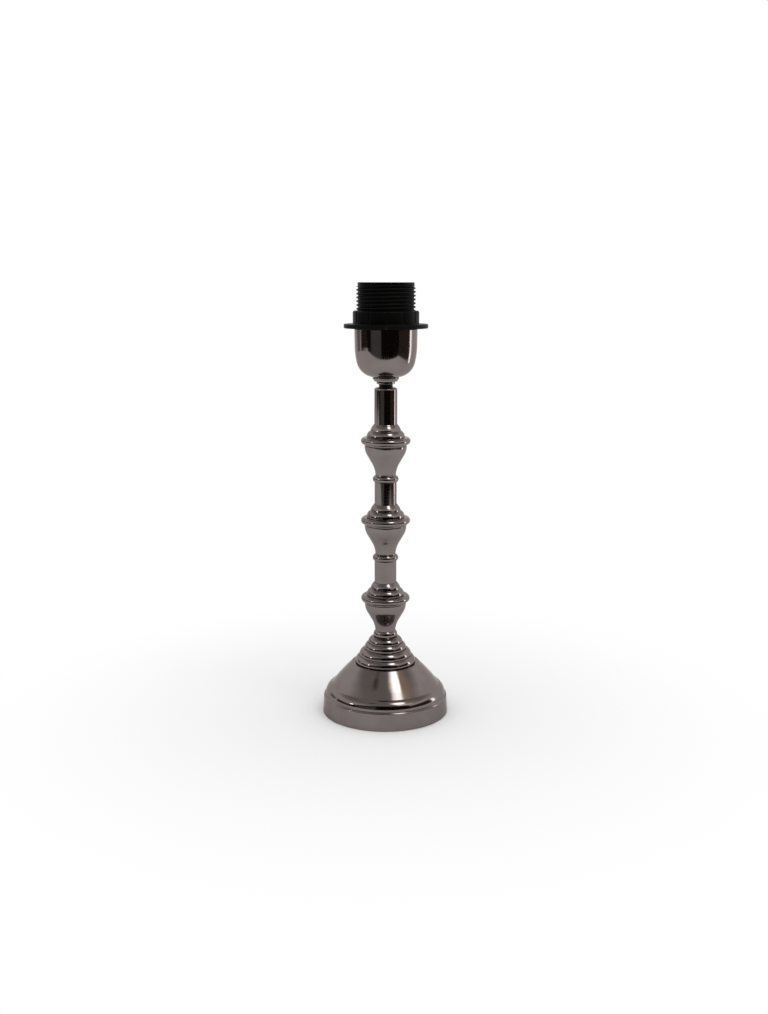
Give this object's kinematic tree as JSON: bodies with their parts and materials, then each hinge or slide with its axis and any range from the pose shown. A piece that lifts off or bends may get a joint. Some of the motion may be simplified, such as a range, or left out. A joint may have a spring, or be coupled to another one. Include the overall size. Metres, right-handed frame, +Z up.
{
  "type": "candlestick table lamp",
  "caption": "Turned candlestick lamp base in polished black nickel with stacked urns and crowns, weighted stepped foot and an E27 lampholder with a screw-on shade ring",
  "frame": {"origin": "centre of the flat face of the felt pad that the lamp rests on", "axes": "+Z up along the column, front is -Y, the cable leaves at the back on +Y"},
  "size_m": [0.0888, 0.0897, 0.3],
  "materials": {
    "black_nickel": "polished dark nickel plate",
    "zinc_steel": "zinc plated",
    "cast_iron": "rough cast, black",
    "felt": "pressed felt",
    "black_plastic": "moulded, satin",
    "brass": "plain",
    "spring_brass": "tinned spring strip"
  },
  "bodies": {
    "lamp": {"foot": "black_nickel", "base_weight": "cast_iron", "felt_pad": "felt", "cable_bush": "black_plastic", "stem_rod": "zinc_steel", "stem_nut": "zinc_steel", "stem_washer": "zinc_steel", "stepped_collar": "black_nickel", "lower_urn": "black_nickel", "lower_crown": "black_nickel", "lower_tube": "black_nickel", "lower_bead": "black_nickel", "middle_urn": "black_nickel", "middle_crown": "black_nickel", "middle_tube": "black_nickel", "upper_bead": "black_nickel", "upper_urn": "black_nickel", "upper_crown": "black_nickel", "top_tube": "black_nickel", "lock_nut": "black_nickel", "cup_seat": "black_nickel", "lamp_cup": "black_nickel", "holder_cap": "black_plastic", "holder_jacket": "black_plastic", "contact_block": "black_plastic", "centre_terminal": "brass", "side_terminal": "brass", "terminal_screws": "zinc_steel", "contact_rivets": "brass", "lock_screw": "zinc_steel"},
    "ring": {"shade_ring": "black_plastic"},
    "centre_leaf": {"centre_contact": "spring_brass"},
    "side_leaf": {"side_contact": "spring_brass"}
  },
  "joints": [
    {"name": "ring_screw", "type": "slide", "parent": "lamp", "child": "ring", "axis": [0, 0, 1], "range_m": [0, 0.0305]},
    {"name": "centre_press", "type": "hinge", "parent": "lamp", "child": "centre_leaf", "pos_m": [-0.0086, 0, 0.2695], "axis": [0, 1, 0], "range_deg": [0, 10], "stiffness_Nm_per_rad": 0.05},
    {"name": "side_press", "type": "hinge", "parent": "lamp", "child": "side_leaf", "pos_m": [0.0134, 0, 0.2693], "axis": [0, 1, 0], "range_deg": [0, 6], "stiffness_Nm_per_rad": 0.05}
  ]
}
